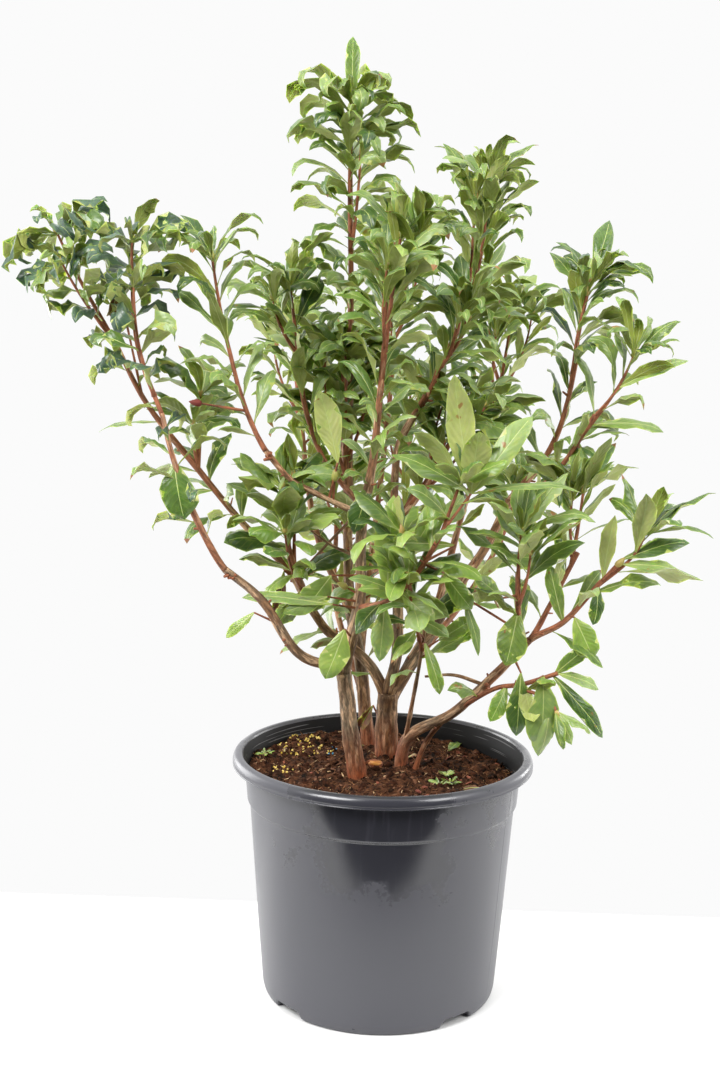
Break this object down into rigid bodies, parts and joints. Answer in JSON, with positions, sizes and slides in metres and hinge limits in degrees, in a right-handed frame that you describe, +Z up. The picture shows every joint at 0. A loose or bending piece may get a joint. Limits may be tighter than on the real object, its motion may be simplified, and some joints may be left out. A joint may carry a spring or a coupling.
{
  "type": "potted azalea shrub",
  "caption": "Deciduous azalea shrub in leaf, many-stemmed and open-crowned, growing in a round black nursery pot filled with compost.",
  "frame": {"origin": "centre of the pot's flat underside, on the pot's own axis, on the ground the pot stands on", "axes": "+Z up along the pot's axis, -Y towards the shrub's front, +X to the right seen from the front"},
  "size_m": [0.7493, 0.5968, 1.085],
  "materials": {
    "pot": "moulded black polypropylene, soft sheen",
    "compost": "damp peat and bark compost",
    "bark": "fissured flaking bark, red-brown on young wood",
    "foliage": "satin leaves with paler undersides"
  },
  "bodies": {
    "root": {"bough_back_centre": "bark", "bough_back_far": "bark", "bough_back_left": "bark", "bough_back_low_left": "bark", "bough_back_low_right": "bark", "bough_back_right": "bark", "bough_centre": "bark", "bough_centre_side": "bark", "bough_front": "bark", "bough_front_low": "bark", "bough_left_back": "bark", "bough_left_long": "bark", "bough_left_long_upper": "bark", "bough_left_low": "bark", "bough_left_low_upper": "bark", "bough_left_third": "bark", "bough_left_third_upper": "bark", "bough_right": "bark", "bough_right_hanging": "bark", "bough_right_low": "bark", "bough_right_low_back": "bark", "bough_right_low_inner": "bark", "bough_right_second": "bark", "bough_right_upper": "bark", "bough_thin": "bark", "compost": "compost", "mass_back_centre": "foliage", "mass_back_far": "foliage", "mass_back_left": "foliage", "mass_back_low_left": "foliage", "mass_back_low_right": "foliage", "mass_back_right": "foliage", "mass_centre": "foliage", "mass_centre_inner": "foliage", "mass_centre_low": "foliage", "mass_centre_side": "foliage", "mass_far_left": "foliage", "mass_front": "foliage", "mass_front_low": "foliage", "mass_front_shoot": "foliage", "mass_leader": "foliage", "mass_left_back": "foliage", "mass_left_inner": "foliage", "mass_left_low": "foliage", "mass_left_second": "foliage", "mass_left_third": "foliage", "mass_right_hanging": "foliage", "mass_right_low": "foliage", "mass_right_low_back": "foliage", "mass_right_low_inner": "foliage", "mass_right_second": "foliage", "mass_right_upper": "foliage", "pot": "pot", "stem_centre": "bark", "stem_leader": "bark", "stem_left": "bark", "stem_right": "bark"}
  },
  "joints": []
}
